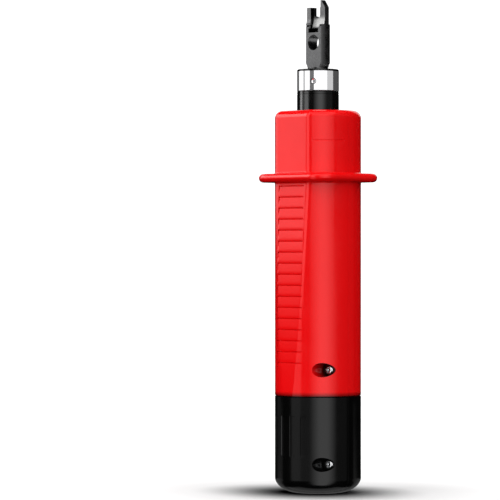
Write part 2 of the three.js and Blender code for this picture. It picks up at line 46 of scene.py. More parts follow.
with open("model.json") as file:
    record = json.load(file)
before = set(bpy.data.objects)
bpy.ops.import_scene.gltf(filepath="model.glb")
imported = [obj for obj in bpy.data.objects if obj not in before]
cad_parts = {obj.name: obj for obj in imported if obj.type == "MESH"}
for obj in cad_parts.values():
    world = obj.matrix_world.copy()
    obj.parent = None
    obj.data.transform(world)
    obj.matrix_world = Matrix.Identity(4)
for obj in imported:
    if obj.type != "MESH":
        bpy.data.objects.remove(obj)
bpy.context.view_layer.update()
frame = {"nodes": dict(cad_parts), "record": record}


def box_mm(node):
    """The lowest and the highest corner of a CAD node, in millimetres."""
    low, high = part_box(node)
    return low / MM, high / MM


# Driving sizes

HOUSING_LOW, HOUSING_HIGH = box_mm("housing_front")
CAP_HIGH = box_mm("cap_front")[1]
COLLAR_LOW, COLLAR_HIGH = box_mm("lock_collar")
RING_LOW, RING_HIGH = box_mm("end_ring")
SLEEVE_LOW, SLEEVE_HIGH = box_mm("nose_sleeve")
BLADE_LOW, BLADE_HIGH = box_mm("blade")

BODY_RADIUS = CAP_HIGH.x
BODY_TOP = HOUSING_HIGH.z - 0.25
NECK_BOTTOM = HOUSING_LOW.z
CAP_TOP = CAP_HIGH.z
BODY_BOTTOM = CAP_TOP + 0.2
COLLAR_RADIUS = COLLAR_HIGH.x
SLEEVE_RADIUS = SLEEVE_HIGH.x

BODY_EDGE = 2.9
CORNER = 4
EDGE_CHAMFER = 0.25
FLAT_DEPTH = 14.2
FLAT_SLOPE = 0.02875
FLAT_FLARE_START = 121.1
FLANGE_LEVEL = 122.4
FLANGE_HALF_X = HOUSING_HIGH.x
FLANGE_HALF_Y = -HOUSING_LOW.y
FLANGE_ROUND = 1.675
FLANGE_CORNER = 7.8
FLANGE_ROOT = 0.6
RIB_COUNT = 17
RIB_PITCH = 4.27
RIB_TOP = 119.4
RIB_DEPTH = 0.45
RIB_LEFT = -7.25
RIB_RIGHT = 6.55
RIB_WALL_DEPTH = 0.7
RIB_WALL_LENGTH = 3
RIB_WALL_WIDTH = 0.6
RIB_FADE = 0.4
# A notch from its long shallow floor up to its sharp groove: (mm below its top, share of its depth)
NOTCH_PROFILE = ((3.2, 0), (1.6, 0.02), (0.5, 0.06), (0.4, 1), (0.34, 0.95), (0.02, 0.02))
SIDE_LINE_LEVEL = 136.7
SIDE_LINE_DEPTH = 0.12
SIDE_LINE_HALF = 0.12
SIDE_LINE_FROM_X = 10
SIDE_LINE_TO_Y = 2
LEVELS_UNDER_LINE = (128, 132)
LEVEL_OVER_LINE = 142
SEAM_START = 0.9
SEAM_GAP = 0.015
# The last points before the seam: (distance from the seam's plane, inset from the outline)
SEAM_STEPS = ((0.3, 0.0), (0.1, 0.0), (SEAM_GAP, 0.03))
COLUMN_WIDTH = 0.36
SIDE_COLUMNS = 44
HOUSING_EVEN_TO = 10
CAP_EVEN_TO = 9
# Where the painted shade above the cap's seam starts, in mm up the tool
SEAM_SHADE_TOP = 39.7

NECK_RADIUS = 12.5
NECK_GROOVE_RADIUS = 11.3
NECK_GROOVE = (30, 33)
# The hollows from the bottom up: (bottom, top, radius)
HOUSING_CHAMBERS = (
    (20, 33, 9), (33, 36.5, 4.6), (36.5, 93.8, 8.8), (93.8, 110.2, 11.4), (110.2, 137.7, 9.9),
    (137.7, 147.2, 10.6), (147.2, BODY_TOP - 0.25, 8.35), (BODY_TOP, BODY_TOP + 5, 8.6),
)
CAP_CHAMBERS = ((26.7, 30.3, 12.8), (30.3, 32.7, 11.6), (32.7, CAP_TOP + 5, 12.8))
KEY_SLOT_LOW = (-1.7, -10.9, 46.2)
KEY_SLOT_HIGH = (1.7, 5, 56.2)
DRIVE_ACROSS_FLATS = 10.3
DRIVE_BOTTOM = 15
DRIVE_TOP = 28

SCREW_X = 12.85
BODY_SCREW_LEVEL = 48.2
CAP_SCREW_LEVEL = 11.8
RECESS_RADIUS = 2.72
RECESS_FLOOR = -6.5
HEAD_RADIUS = 1.85
HEAD_FACE = -7.2
HEAD_SEAT = -5.4
HEAD_CROWN = 0.45
CROSS_LENGTH = 1.0
CROSS_WIDTH = 0.3
CROSS_DEPTH = 0.9
SHANK_RADIUS = 1.25
SHANK_CLEARANCE = 0.1
HEAD_CLEARANCE = 0.15
SCREW_TIP = 6.6
TIP_HOLE_END = 5
OUTSIDE = 30

CAP_EDGE = 6
CAP_EDGE_INSET = 9
FLUTE_COUNT = 4
FLUTE_SPACING = 16.8
FLUTE_HALF_ANGLE = 4.45
FLUTE_WALL_ANGLE = 0.4
FLUTE_DEPTH = 0.22
FLUTE_BOTTOM = 14.8
FLUTE_MIDDLE = 22
FLUTE_TOP = 30.3
LEVEL_UNDER_FLUTES = 9
LEVEL_OVER_FLUTES = 34

SHANK_ROD_RADIUS = 3.95
SHANK_CHAMFER = 0.5
BLADE_RADIUS = 4.8
BLADE_NECK_RADIUS = 4.22
BLADE_NECK_TOP = 166.1
BLADE_WIDE_BOTTOM = 167.2
BLADE_FLAT_BOTTOM = 165.5
BLADE_HALF_THICKNESS = 2.55
BLADE_SHOULDER = 182.2
HOLE_RADIUS = 3
HOLE_LEVEL = 175.2
TRACK_FLOOR = 2.7
TRACK_HALF_WIDTH = 1.3
FORK_HALF_WIDTH = 4.08
FORK_FRONT = -1.99
FORK_MIDDLE = -0.25
FORK_REAR = 1.95
FORK_ROOT_LEVEL = 184.6
FORK_ROOT_RADIUS = 4.2
FORK_ROOT_SWEEP = 28
AROUND_FORK = 6
PRONG_INNER = -2.03
PRONG_REAR = 0.94
PRONG_TOP = 188.9
SLOT_LEFT = -1.68
SLOT_RIGHT = 1.4
SLOT_FLOOR = 184.6
SCOOP_LEVEL = 185.2
SCOOP_RADIUS = 9
POCKET_LEFT = -2.4
POCKET_RIGHT = 2.95
WINDOW_BOTTOM = 179.1
WINDOW_TOP = 180.8
WINDOW_DEPTH = 0.6
CUTTER_STEP = 189
CUTTER_INNER = 1.65
CUTTER_BEVEL_TOP = 2.05
CUTTER_BEVEL_LEVEL = 188.9

MAIN_WIRE = 0.9
MAIN_TURNS = 7
MAIN_SPLIT = 0.36
HAMMER_TRAVEL = 9.1
SEAT_TRAVEL = 3.02
RETURN_WIRE = 0.45
TRIP_WIRE = 0.2
WIRE_SIDES = 12
STEPS_A_TURN = 36
END_CLOSENESS = 0.45

NOSE_BORE = 5.65
RING_BORE = 4.6
COLLAR_EDGE = 0.08
SLEEVE_GROOVES = (154.85, 155.6)
BAYONET_LEVEL = 159.9
BAYONET_ANGLE = -58
PIN_RADIUS = 1.1


# The pieces and CAD nodes that wear each slot's material
DRESSED = {}


# Mesh helpers

def add_object(name, data):
    obj = bpy.data.objects.new(name, data)
    bpy.context.scene.collection.objects.link(obj)
    return obj


def mesh_object(name, vertices, faces):
    """A closed mesh from millimetre vertices, with its faces turned outwards."""
    mesh = bpy.data.meshes.new(name)
    mesh.from_pydata([[v * MM for v in vertex] for vertex in vertices], [], faces)
    tidy = bmesh.new()
    tidy.from_mesh(mesh)
    bmesh.ops.recalc_face_normals(tidy, faces=tidy.faces)
    tidy.to_mesh(mesh)
    tidy.free()
    return add_object(name, mesh)


def turned(name, profile, segments=96):
    """A solid of revolution about Z. A profile off the axis is closed on itself."""
    vertices, rings = [], []
    for radius, level in profile:
        if radius == 0:
            rings.append([len(vertices)] * segments)
            vertices.append((0, 0, level))
            continue
        rings.append([len(vertices) + i for i in range(segments)])
        for i in range(segments):
            angle = 2 * math.pi * i / segments
            vertices.append((radius * math.cos(angle), radius * math.sin(angle), level))
    pairs = list(zip(rings, rings[1:]))
    if profile[0][0] > 0:
        pairs.append((rings[-1], rings[0]))
    faces = []
    for low, high in pairs:
        for i in range(segments):
            j = (i + 1) % segments
            corners = [low[i], low[j], high[j], high[i]]
            face = [c for k, c in enumerate(corners) if c != corners[k - 1]]
            if len(face) > 2:
                faces.append(face)
    return mesh_object(name, vertices, faces)


def stepped_bore(name, chambers):
    """A solid that fills chambers, each given as (bottom, top, radius), from the bottom up."""
    profile = [(0, chambers[0][0])]
    for low, high, radius in chambers:
        profile += [(radius, low), (radius, high)]
    return turned(name, [*profile, (0, chambers[-1][1])])


def prism(name, outline, start, end, along="X"):
    """An outline pushed along an axis. Its points are in the two other axes, in X, Y, Z order."""
    def place(point, depth):
        a, b = point
        return {"X": (depth, a, b), "Y": (a, depth, b), "Z": (a, b, depth)}[along]

    count = len(outline)
    vertices = [place(p, start) for p in outline] + [place(p, end) for p in outline]
    faces = [list(range(count)), list(range(count, 2 * count))]
    for i in range(count):
        j = (i + 1) % count
        faces.append([i, j, count + j, count + i])
    return mesh_object(name, vertices, faces)


def block(low, high):
    (x0, y0, z0), (x1, y1, z1) = low, high
    return prism("block", [(y0, z0), (y1, z0), (y1, z1), (y0, z1)], x0, x1)


def on_circle(centre, radius, angle):
    return centre[0] + radius * math.cos(angle), centre[1] + radius * math.sin(angle)


def circle(radius, count, centre=(0, 0)):
    return [on_circle(centre, radius, 2 * math.pi * i / count) for i in range(count)]


def arc(centre, radius, start, end, steps):
    """Points on an arc, between two angles in degrees."""
    angles = [math.radians(start + (end - start) * i / steps) for i in range(steps + 1)]
    return [on_circle(centre, radius, angle) for angle in angles]


def cross_rod(radius, x, z, start, end, segments=48):
    """A rod along Y."""
    return prism("rod", circle(radius, segments, (x, z)), start, end, "Y")


def turn(obj, degrees):
    """Turns the mesh itself about the tool's axis."""
    obj.data.transform(Matrix.Rotation(math.radians(degrees), 4, "Z"))
    return obj


def place(obj, degrees, axis, x, level):
    """Tips the mesh over about an axis, then moves it."""
    obj.data.transform(Matrix.Rotation(math.radians(degrees), 4, axis))
    obj.data.transform(Matrix.Translation(Vector((x, 0, level)) * MM))
    return obj


def bake_modifiers(obj):
    graph = bpy.context.evaluated_depsgraph_get()
    mesh = bpy.data.meshes.new_from_object(obj.evaluated_get(graph))
    obj.modifiers.clear()
    obj.data = mesh


def combine(obj, tools, operation="DIFFERENCE"):
    """Cuts the tools from obj, or joins them to it, and removes them."""
    for tool in tools:
        modifier = obj.modifiers.new("combine", "BOOLEAN")
        modifier.operation = operation
        modifier.solver = "EXACT"
        modifier.object = tool
        bake_modifiers(obj)
        bpy.data.objects.remove(tool)
        weld(obj)
    return obj


def weld(obj, distance=0.0005):
    """Merges points that a cut leaves closer than a hair."""
    tidy = bmesh.new()
    tidy.from_mesh(obj.data)
    bmesh.ops.remove_doubles(tidy, verts=tidy.verts, dist=distance * MM)
    bmesh.ops.dissolve_degenerate(tidy, edges=tidy.edges, dist=distance * MM)
    tidy.to_mesh(obj.data)
    tidy.free()


def soften(obj, width, segments=2, angle=35):
    """Rounds the sharp edges."""
    modifier = obj.modifiers.new("soften", "BEVEL")
    modifier.width = width * MM
    modifier.segments = segments
    modifier.limit_method = "ANGLE"
    modifier.angle_limit = math.radians(angle)
    modifier.use_clamp_overlap = True
    bake_modifiers(obj)
    return obj


def shade(obj, angle=32):
    """Smooth shading, with sharp edges kept and flat faces shaded flat."""
    obj.data.shade_smooth()
    obj.data.set_sharp_from_angle(angle=math.radians(angle))
    modifier = obj.modifiers.new("shade", "WEIGHTED_NORMAL")
    modifier.keep_sharp = True
    bake_modifiers(obj)


def install(obj, name, body, slot, replaced=None):
    """Names a finished piece, gives it its material, and lets it stand for its CAD node."""
    DRESSED.setdefault(slot, []).append(obj)
    obj.name = name
    shade(obj)
    obj.data.name = name
    obj.data.materials.clear()
    obj.data.materials.append(MATERIALS[slot])
    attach(obj, body)
    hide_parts(replaced or name.removesuffix("_piece"))
    return obj


def twin(obj):
    """A copy turned half a turn about the tool's axis."""
    copy = obj.copy()
    copy.data = obj.data.copy()
    bpy.context.scene.collection.objects.link(copy)
    return turn(copy, 180)


# Shells

def flat_depth(level):
    """How far the grip's flat lies from the axis at a level: it leans out towards the cap."""
    return FLAT_DEPTH + FLAT_SLOPE * max(0.0, FLAT_FLARE_START - level)


def reach(x, radius, depth, corner):
    """How far a round outline with a flat and a rounded corner reaches at a place in X."""
    x = abs(x)
    if depth < radius:
        centre_y = depth - corner
        centre_x = math.sqrt((radius - corner) ** 2 - centre_y ** 2)
        if x <= centre_x:
            return depth
        if x < centre_x * radius / (radius - corner):
            return centre_y + math.sqrt(corner ** 2 - (x - centre_x) ** 2)
    return math.sqrt(max(radius ** 2 - x ** 2, 0.0))


def columns(places, even_to):
    """The X places of a half shell's columns: evenly spaced near the middle, with the extra
    places put in, then at even angles up to the seam."""
    limit = BODY_RADIUS * math.cos(math.asin(SEAM_START / BODY_RADIUS))
    found = set(places)
    count = round(even_to / COLUMN_WIDTH)
    for i in range(count + 1):
        x = even_to * i / count
        if all(abs(x - p) > COLUMN_WIDTH / 2 for p in places):
            found.add(x)
    start = math.asin(even_to / BODY_RADIUS)
    end = math.asin(limit / BODY_RADIUS)
    for i in range(1, SIDE_COLUMNS + 1):
        found.add(BODY_RADIUS * math.sin(start + (end - start) * i / SIDE_COLUMNS))
    half = sorted(found)
    return sorted({-x for x in half} | set(half))


def with_seams(row, level, seam_reach):
    """A row with the seam's steps at both ends. seam_reach(y) is how far it goes in X there."""
    left, right = [], []
    for y, inset in SEAM_STEPS:
        x = seam_reach(y) - inset
        left.insert(0, (-x, -y, level))
        right.append((x, -y, level))
    return left + row + right


def shell_row(xs, level, grow=0.0, radius=None, depth=None, change=None):
    """One row of a half shell at a level. change(x, reach) may alter how far a column reaches."""
    radius = (radius or BODY_RADIUS) + grow
    depth = radius + 1 if depth is None else depth + grow
    corner = max(CORNER + grow, 0.4)
    scale = radius / BODY_RADIUS
    row = []
    for x in xs:
        across = x * scale
        far = reach(across, radius, depth, corner)
        if change:
            across, far = change(across, far)
        row.append((across, -far, level))
    return with_seams(row, level, lambda y: math.sqrt(radius ** 2 - y ** 2))


def grip_row(xs, level, change=None):
    return shell_row(xs, level, depth=flat_depth(level), change=change)


def flange_row(xs, level, inset):
    """One row of the guard flange: a rounded rectangle, met along each column's direction."""
    half_x, half_y = FLANGE_HALF_X - inset, FLANGE_HALF_Y - inset
    corner = FLANGE_CORNER - inset
    depth = flat_depth(FLANGE_LEVEL)
    row = []
    for x in xs:
        direction = Vector((abs(x), reach(x, BODY_RADIUS, depth, CORNER))).normalized()
        place = direction * (half_y / direction.y)
        if place.x > half_x - corner:
            place = direction * (half_x / max(direction.x, 1e-6))
            if place.y > half_y - corner:
                centre = Vector((half_x - corner, half_y - corner))
                near = direction.dot(centre)
                place = direction * (near + math.sqrt(near ** 2 - centre.length_squared + corner ** 2))
        row.append((math.copysign(place.x, x), -place.y, level))
    return with_seams(row, level, lambda y: half_x)


def half_shell(name, rows):
    """A closed solid from rows that run from one seam edge to the other, bottom row first."""
    rows = list(rows)
    width = len(rows[0])
    vertices = [point for row in rows for point in row]
    faces = []
    for r in range(len(rows) - 1):
        for c in range(width - 1):
            a = r * width + c
            faces.append([a, a + 1, a + width + 1, a + width])
    last = (len(rows) - 1) * width
    faces.append(list(range(width)))
    faces.append(list(range(last, last + width)))
    starts = range(0, len(vertices), width)
    faces.append([*starts, *(start + width - 1 for start in reversed(starts))])
    return mesh_object(name, vertices, faces)


def clamp01(value):
    return min(max(value, 0.0), 1.0)


def notch_change(below_top, rib_depth):
    """One level of a notch in the ribbed grip, deepest against its left end wall."""
    wall_depth = RIB_WALL_DEPTH * clamp01(1 - below_top / RIB_WALL_LENGTH)

    def change(x, far):
        if not RIB_LEFT + 0.01 < x < RIB_RIGHT:
            return x, far
        fade_left = clamp01((x - RIB_LEFT) / RIB_WALL_WIDTH)
        fade_right = clamp01((RIB_RIGHT - x) / RIB_FADE)
        deep = wall_depth * (1 - fade_left) + rib_depth * fade_left
        return x, far - deep * fade_right
    return change


def notch_rows(xs, index):
    """The rows of one notch, from its bottom up."""
    top = RIB_TOP - RIB_PITCH * index
    for below_top, share in NOTCH_PROFILE:
        yield grip_row(xs, top - below_top, notch_change(below_top, RIB_DEPTH * share))
    yield shell_row(xs, top + 0.06, depth=flat_depth(top))


def neck_rows(xs):
    """The neck inside the cap, with a groove round it."""
    low, high = NECK_GROOVE
    for level, radius in (
        (NECK_BOTTOM, NECK_RADIUS - 0.3), (NECK_BOTTOM + 0.3, NECK_RADIUS), (low, NECK_RADIUS),
        (low + 0.02, NECK_GROOVE_RADIUS), (high - 0.02, NECK_GROOVE_RADIUS), (high, NECK_RADIUS),
        (BODY_BOTTOM, NECK_RADIUS),
    ):
        yield shell_row(xs, level, radius=radius)


def housing_rows(xs):
    yield from neck_rows(xs)
    for above, inset in ((0.01, EDGE_CHAMFER), (0.08, 0.07), (EDGE_CHAMFER, 0)):
        yield shell_row(xs, BODY_BOTTOM + above, grow=-inset, depth=flat_depth(BODY_BOTTOM))
    lowest = RIB_TOP - RIB_PITCH * RIB_COUNT
    for i in range(1, 4):
        yield grip_row(xs, BODY_BOTTOM + (lowest - BODY_BOTTOM) * i / 4)
    for index in reversed(range(RIB_COUNT)):
        yield from notch_rows(xs, index)
    yield from flange_rows(xs)
    for level in LEVELS_UNDER_LINE:
        yield grip_row(xs, level)
    yield from side_line_rows(xs)
    yield grip_row(xs, LEVEL_OVER_LINE)
    for angle in range(0, 91, 10):
        a = math.radians(angle)
        level = BODY_TOP - BODY_EDGE * (1 - math.sin(a))
        yield shell_row(xs, level, grow=BODY_EDGE * (math.cos(a) - 1), depth=FLAT_DEPTH)


def flange_rows(xs):
    """The guard flange: root fillets on both sides and a round edge."""
    half = FLANGE_ROUND
    depth = flat_depth(FLANGE_LEVEL)
    fillet = arc((0, 0), FLANGE_ROOT, -90, 0, 4)
    for across, up in reversed(fillet):
        level = FLANGE_LEVEL - half - FLANGE_ROOT - up
        yield shell_row(xs, level, grow=FLANGE_ROOT - across, depth=depth)
    for across, up in arc((0, 0), half, -90, 90, 14):
        yield flange_row(xs, FLANGE_LEVEL + up, half - across)
    for across, up in fillet:
        level = FLANGE_LEVEL + half + FLANGE_ROOT + up
        yield shell_row(xs, level, grow=FLANGE_ROOT - across, depth=depth)


def side_line_rows(xs):
    """A fine moulded line across the rounded side at +X."""
    def groove(x, far):
        if x <= SIDE_LINE_FROM_X or far <= SIDE_LINE_TO_Y:
            return x, far
        pull = 1 - SIDE_LINE_DEPTH / BODY_RADIUS
        return x * pull, far * pull

    for halves, change in ((-2, None), (-1, groove), (1, groove), (2, None)):
        yield grip_row(xs, SIDE_LINE_LEVEL + SIDE_LINE_HALF * halves, change)


def screw_hole_tools(level):
    """The recess, seat and hole of the screw from -Y, and the blind hole for the other's tip."""
    shank = SHANK_RADIUS + SHANK_CLEARANCE
    return [
        cross_rod(RECESS_RADIUS, SCREW_X, level, -OUTSIDE, RECESS_FLOOR, 64),
        cross_rod(HEAD_RADIUS + HEAD_CLEARANCE, SCREW_X, level, -OUTSIDE, HEAD_SEAT + SHANK_CLEARANCE),
        cross_rod(shank, SCREW_X, level, -OUTSIDE, TIP_HOLE_END),
        cross_rod(shank, -SCREW_X, level, -SCREW_TIP - 0.3, TIP_HOLE_END),
    ]


def housing_half():
    places = [-RIB_LEFT, -RIB_LEFT - 0.03, -RIB_LEFT - RIB_WALL_WIDTH, RIB_RIGHT, RIB_RIGHT - RIB_FADE]
    shell = half_shell("housing", housing_rows(columns(places, HOUSING_EVEN_TO)))
    hollow = stepped_bore("hollow", HOUSING_CHAMBERS)
    key_slot = block(KEY_SLOT_LOW, KEY_SLOT_HIGH)
    return combine(shell, [hollow, key_slot, *screw_hole_tools(BODY_SCREW_LEVEL)])


# Cap

def flute_middle(i):
    """Where a flute lies round the cap, in degrees from the front."""
    return FLUTE_SPACING * (i - (FLUTE_COUNT - 1) / 2)


def flute_change(share):
    """Flat flutes with steep sides down the front of the cap, as deep as share says."""
    def change(x, far):
        angle = math.degrees(math.atan2(x, far))
        for i in range(FLUTE_COUNT):
            edge = FLUTE_HALF_ANGLE - abs(angle - flute_middle(i))
            if edge > 0:
                pull = 1 - FLUTE_DEPTH * share * clamp01(edge / FLUTE_WALL_ANGLE) / BODY_RADIUS
                return x * pull, far * pull
        return x, far
    return change


def cap_rows(xs):
    for across, up in arc((0, 0), 1, -90, 0, 26):
        radius = BODY_RADIUS - CAP_EDGE_INSET * (1 - across)
        yield shell_row(xs, CAP_EDGE * (1 + up), radius=radius)
    yield shell_row(xs, LEVEL_UNDER_FLUTES)
    for level, share in (
        (FLUTE_BOTTOM, 0), (FLUTE_BOTTOM + 0.2, 1), (FLUTE_MIDDLE, 1), (FLUTE_TOP - 0.2, 1),
        (FLUTE_TOP, 0),
    ):
        yield shell_row(xs, level, change=flute_change(share))
    yield shell_row(xs, LEVEL_OVER_FLUTES)
    for below, inset in ((EDGE_CHAMFER, 0), (0.08, 0.07), (0, EDGE_CHAMFER)):
        yield shell_row(xs, CAP_TOP - below, grow=-inset)


def cap_half():
    places = []
    for i in range(FLUTE_COUNT // 2, FLUTE_COUNT):
        for side in (-1, 1):
            for inset in (0, FLUTE_WALL_ANGLE):
                angle = flute_middle(i) + side * (FLUTE_HALF_ANGLE - inset)
                places.append(BODY_RADIUS * math.sin(math.radians(angle)))
    shell = half_shell("cap", cap_rows(columns(places, CAP_EVEN_TO)))
    bore = stepped_bore("bore", CAP_CHAMBERS)
    corners = circle(DRIVE_ACROSS_FLATS / math.sqrt(3), 6)
    hexagon = turn(prism("drive", corners, DRIVE_BOTTOM, DRIVE_TOP, "Z"), 90)
    return combine(shell, [bore, hexagon, *screw_hole_tools(CAP_SCREW_LEVEL)])


def screw(level):
    """A pan-head screw with a cross recess, entering from -Y."""
    body = turned("screw", [
        (0, HEAD_FACE), (HEAD_RADIUS - HEAD_CROWN, HEAD_FACE + 0.02),
        (HEAD_RADIUS - HEAD_CROWN * 0.4, HEAD_FACE + HEAD_CROWN * 0.3),
        (HEAD_RADIUS, HEAD_FACE + HEAD_CROWN), (HEAD_RADIUS, HEAD_SEAT),
        (SHANK_RADIUS, HEAD_SEAT + 0.01), (SHANK_RADIUS, SCREW_TIP - 0.8), (0.4, SCREW_TIP),
        (0, SCREW_TIP),
    ], 48)
    place(body, -90, "X", SCREW_X, level)
    arms = []
    for a, b in ((CROSS_LENGTH, CROSS_WIDTH), (CROSS_WIDTH, CROSS_LENGTH)):
        arms.append(block((SCREW_X - a, HEAD_FACE - 1, level - b),
                          (SCREW_X + a, HEAD_FACE + CROSS_DEPTH, level + b)))
    combine(body, arms)
    return soften(body, 0.05, 1)


# Nose

def bayonet_tools(radius, start, end):
    """Two rods across the collar, where the bayonet pins go."""
    tools = []
    for half_turn in (0, 180):
        rod = prism("pin", circle(radius, 40, (0, BAYONET_LEVEL)), start, end, "X")
        tools.append(turn(rod, BAYONET_ANGLE + half_turn))
    return tools


def collar():
    inner = NOSE_BORE
    low, high = COLLAR_LOW.z, COLLAR_HIGH.z
    edge = COLLAR_EDGE
    tube = turned("collar", [
        (inner, low), (COLLAR_RADIUS - edge, low), (COLLAR_RADIUS - edge * 0.3, low + edge * 0.3),
        (COLLAR_RADIUS, low + edge), (COLLAR_RADIUS, high - edge),
        (COLLAR_RADIUS - edge * 0.3, high - edge * 0.3), (COLLAR_RADIUS - edge, high), (inner, high),
    ], 128)
    return combine(tube, bayonet_tools(PIN_RADIUS + 0.08, 2, 20))


def bayonet_pin(degrees):
    """A pin whose outer end is slightly hollow, just under the collar's surface."""
    outer = COLLAR_RADIUS - 0.06
    profile = [(0, 2.95), (PIN_RADIUS - 0.15, 2.95), (PIN_RADIUS, 3.1), (PIN_RADIUS, outer - 0.12),
               (PIN_RADIUS - 0.12, outer), (PIN_RADIUS - 0.3, outer), (PIN_RADIUS - 0.55, outer - 0.22),
               (0, outer - 0.3)]
    return turn(place(turned("pin", profile, 40), 90, "Y", 0, BAYONET_LEVEL), degrees)


def end_ring():
    low, high = RING_LOW.z, RING_HIGH.z
    inner = RING_BORE
    round_edge = (high - low) * 0.8
    edge = arc((COLLAR_RADIUS - round_edge, high - round_edge), round_edge, 0, 90, 8)
    return turned("ring", [
        (inner, low), (COLLAR_RADIUS, low), *edge, (inner + 0.15, high), (inner, high - 0.15),
    ], 128)


def sleeve():
    low, high = SLEEVE_LOW.z, SLEEVE_HIGH.z
    inner = NOSE_BORE
    profile = [(inner, low), (SLEEVE_RADIUS - 0.3, low), (SLEEVE_RADIUS, low + 0.3)]
    for level in SLEEVE_GROOVES:
        profile += [(SLEEVE_RADIUS, level), (SLEEVE_RADIUS - 0.18, level + 0.08),
                    (SLEEVE_RADIUS - 0.18, level + 0.22), (SLEEVE_RADIUS, level + 0.3)]
    profile += [(SLEEVE_RADIUS, high - 0.12), (SLEEVE_RADIUS - 0.12, high), (inner, high)]
    return turned("sleeve", profile, 128)


# Blade

def bayonet_track(degrees):
    """The quarter-turn groove round the shank, and the slot that lets a pin in from below."""
    outer = SHANK_ROD_RADIUS + 2
    margin = math.degrees(math.asin(TRACK_HALF_WIDTH / SHANK_ROD_RADIUS))
    start, end = degrees - 90 - margin, degrees + margin
    outline = arc((0, 0), outer, start, end, 24) + arc((0, 0), TRACK_FLOOR, end, start, 24)
    half = TRACK_HALF_WIDTH
    groove = prism("track", outline, BAYONET_LEVEL - half, BAYONET_LEVEL + half, "Z")
    slot = block((TRACK_FLOOR, -half, BLADE_LOW.z - 1), (outer, half, BAYONET_LEVEL))
    return [groove, turn(slot, degrees - 90)]


def outside_fork():
    """What lies round the fork's rectangular outline, above the shoulder."""
    high = BLADE_HIGH.z + 1
    low = BLADE_SHOULDER
    wide = AROUND_FORK
    middle = (FORK_FRONT - FORK_ROOT_RADIUS, FORK_ROOT_LEVEL)
    root = arc(middle, FORK_ROOT_RADIUS, -FORK_ROOT_SWEEP, 0, 6)
    front = [(-wide, low), *root, (FORK_FRONT, high), (-wide, high)]
    return [
        prism("front", front, -wide, wide),
        block((-wide, FORK_REAR, low), (wide, wide, high)),
        block((-wide, -wide, low), (-FORK_HALF_WIDTH, wide, high)),
        block((FORK_HALF_WIDTH, -wide, low), (wide, wide, high)),
    ]


def fork_cuts():
    """The slot, the scooped face of the cutter's side, the pocket and the deep window under it."""
    high = BLADE_HIGH.z + 1
    wide = AROUND_FORK
    slot_radius = (SLOT_RIGHT - SLOT_LEFT) / 2
    middle = (SLOT_RIGHT + SLOT_LEFT) / 2
    bottom = arc((middle, SLOT_FLOOR + slot_radius), slot_radius, 180, 360, 16)
    slot = prism("slot", [*bottom, (SLOT_RIGHT, high), (SLOT_LEFT, high)], -wide, wide, "Y")
    sweep = math.degrees(math.asin((SCOOP_LEVEL - WINDOW_TOP) / SCOOP_RADIUS))
    scoop = arc((FORK_MIDDLE - SCOOP_RADIUS, SCOOP_LEVEL), SCOOP_RADIUS, -sweep, 0, 14)
    face = [(-wide, WINDOW_TOP), *scoop, (FORK_MIDDLE, high), (-wide, high)]
    above = block((-wide, -wide, BLADE_SHOULDER), (wide, wide, high))
    cutter_face = combine(prism("cutter_face", face, PRONG_INNER, wide), [above], "INTERSECT")
    pocket = prism("pocket", face, POCKET_LEFT, POCKET_RIGHT)
    below = block((-wide, -wide, WINDOW_TOP - 1), (wide, wide, BLADE_SHOULDER + 0.05))
    return [
        slot, cutter_face, combine(pocket, [below], "INTERSECT"),
        block((POCKET_LEFT - 0.35, -wide, WINDOW_BOTTOM),
              (POCKET_RIGHT - 0.3, WINDOW_DEPTH, WINDOW_TOP)),
        block((-wide, PRONG_REAR, BLADE_SHOULDER), (SLOT_LEFT + 0.1, wide, high)),
        block((-wide, -wide, PRONG_TOP), (SLOT_RIGHT - 0.1, wide, high)),
        block((0, -wide, CUTTER_STEP), (CUTTER_INNER, wide, high)),
    ]


def cutter_bevel():
    """The cutter's ground bevel, across its right corner."""
    high = BLADE_HIGH.z
    corner = [(CUTTER_BEVEL_TOP, high), (FORK_HALF_WIDTH, CUTTER_BEVEL_LEVEL),
              (FORK_HALF_WIDTH + 1, CUTTER_BEVEL_LEVEL), (FORK_HALF_WIDTH + 1, high + 1),
              (CUTTER_BEVEL_TOP, high + 1)]
    return prism("corner", corner, -AROUND_FORK, AROUND_FORK, "Y")


def shoulder_notches():
    """A small groove under the shoulder, on each side of the pocket."""
    front = -BLADE_HALF_THICKNESS - 0.1
    top = BLADE_SHOULDER - 0.1
    outline = [(front, top), (front + 0.85, top - 0.15), (front, top - 0.8)]
    wide = BLADE_RADIUS + 1
    left = prism("notch", outline, -wide, POCKET_LEFT + 0.1)
    right = prism("notch", outline, POCKET_RIGHT - 0.1, wide)
    return [left, right]


def blade():
    low, high = BLADE_LOW.z, BLADE_HIGH.z
    body = turned("blade", [
        (0, low), (SHANK_ROD_RADIUS - SHANK_CHAMFER, low), (SHANK_ROD_RADIUS, low + SHANK_CHAMFER),
        (SHANK_ROD_RADIUS, BLADE_FLAT_BOTTOM), (BLADE_NECK_RADIUS, BLADE_FLAT_BOTTOM + 0.1),
        (BLADE_NECK_RADIUS, BLADE_NECK_TOP), (BLADE_RADIUS, BLADE_WIDE_BOTTOM), (BLADE_RADIUS, high),
        (0, high),
    ], 96)
    flat = BLADE_HALF_THICKNESS
    tools = [
        block((-9, -9, BLADE_FLAT_BOTTOM), (9, -flat, high + 1)),
        block((-9, flat, BLADE_FLAT_BOTTOM), (9, 9, high + 1)),
        cross_rod(HOLE_RADIUS, 0, HOLE_LEVEL, -9, 9, 64),
        *bayonet_track(BAYONET_ANGLE), *bayonet_track(BAYONET_ANGLE + 180),
        *outside_fork(), *fork_cuts(), cutter_bevel(), *shoulder_notches(),
    ]
    return soften(combine(body, tools), 0.06, 2)


# Springs

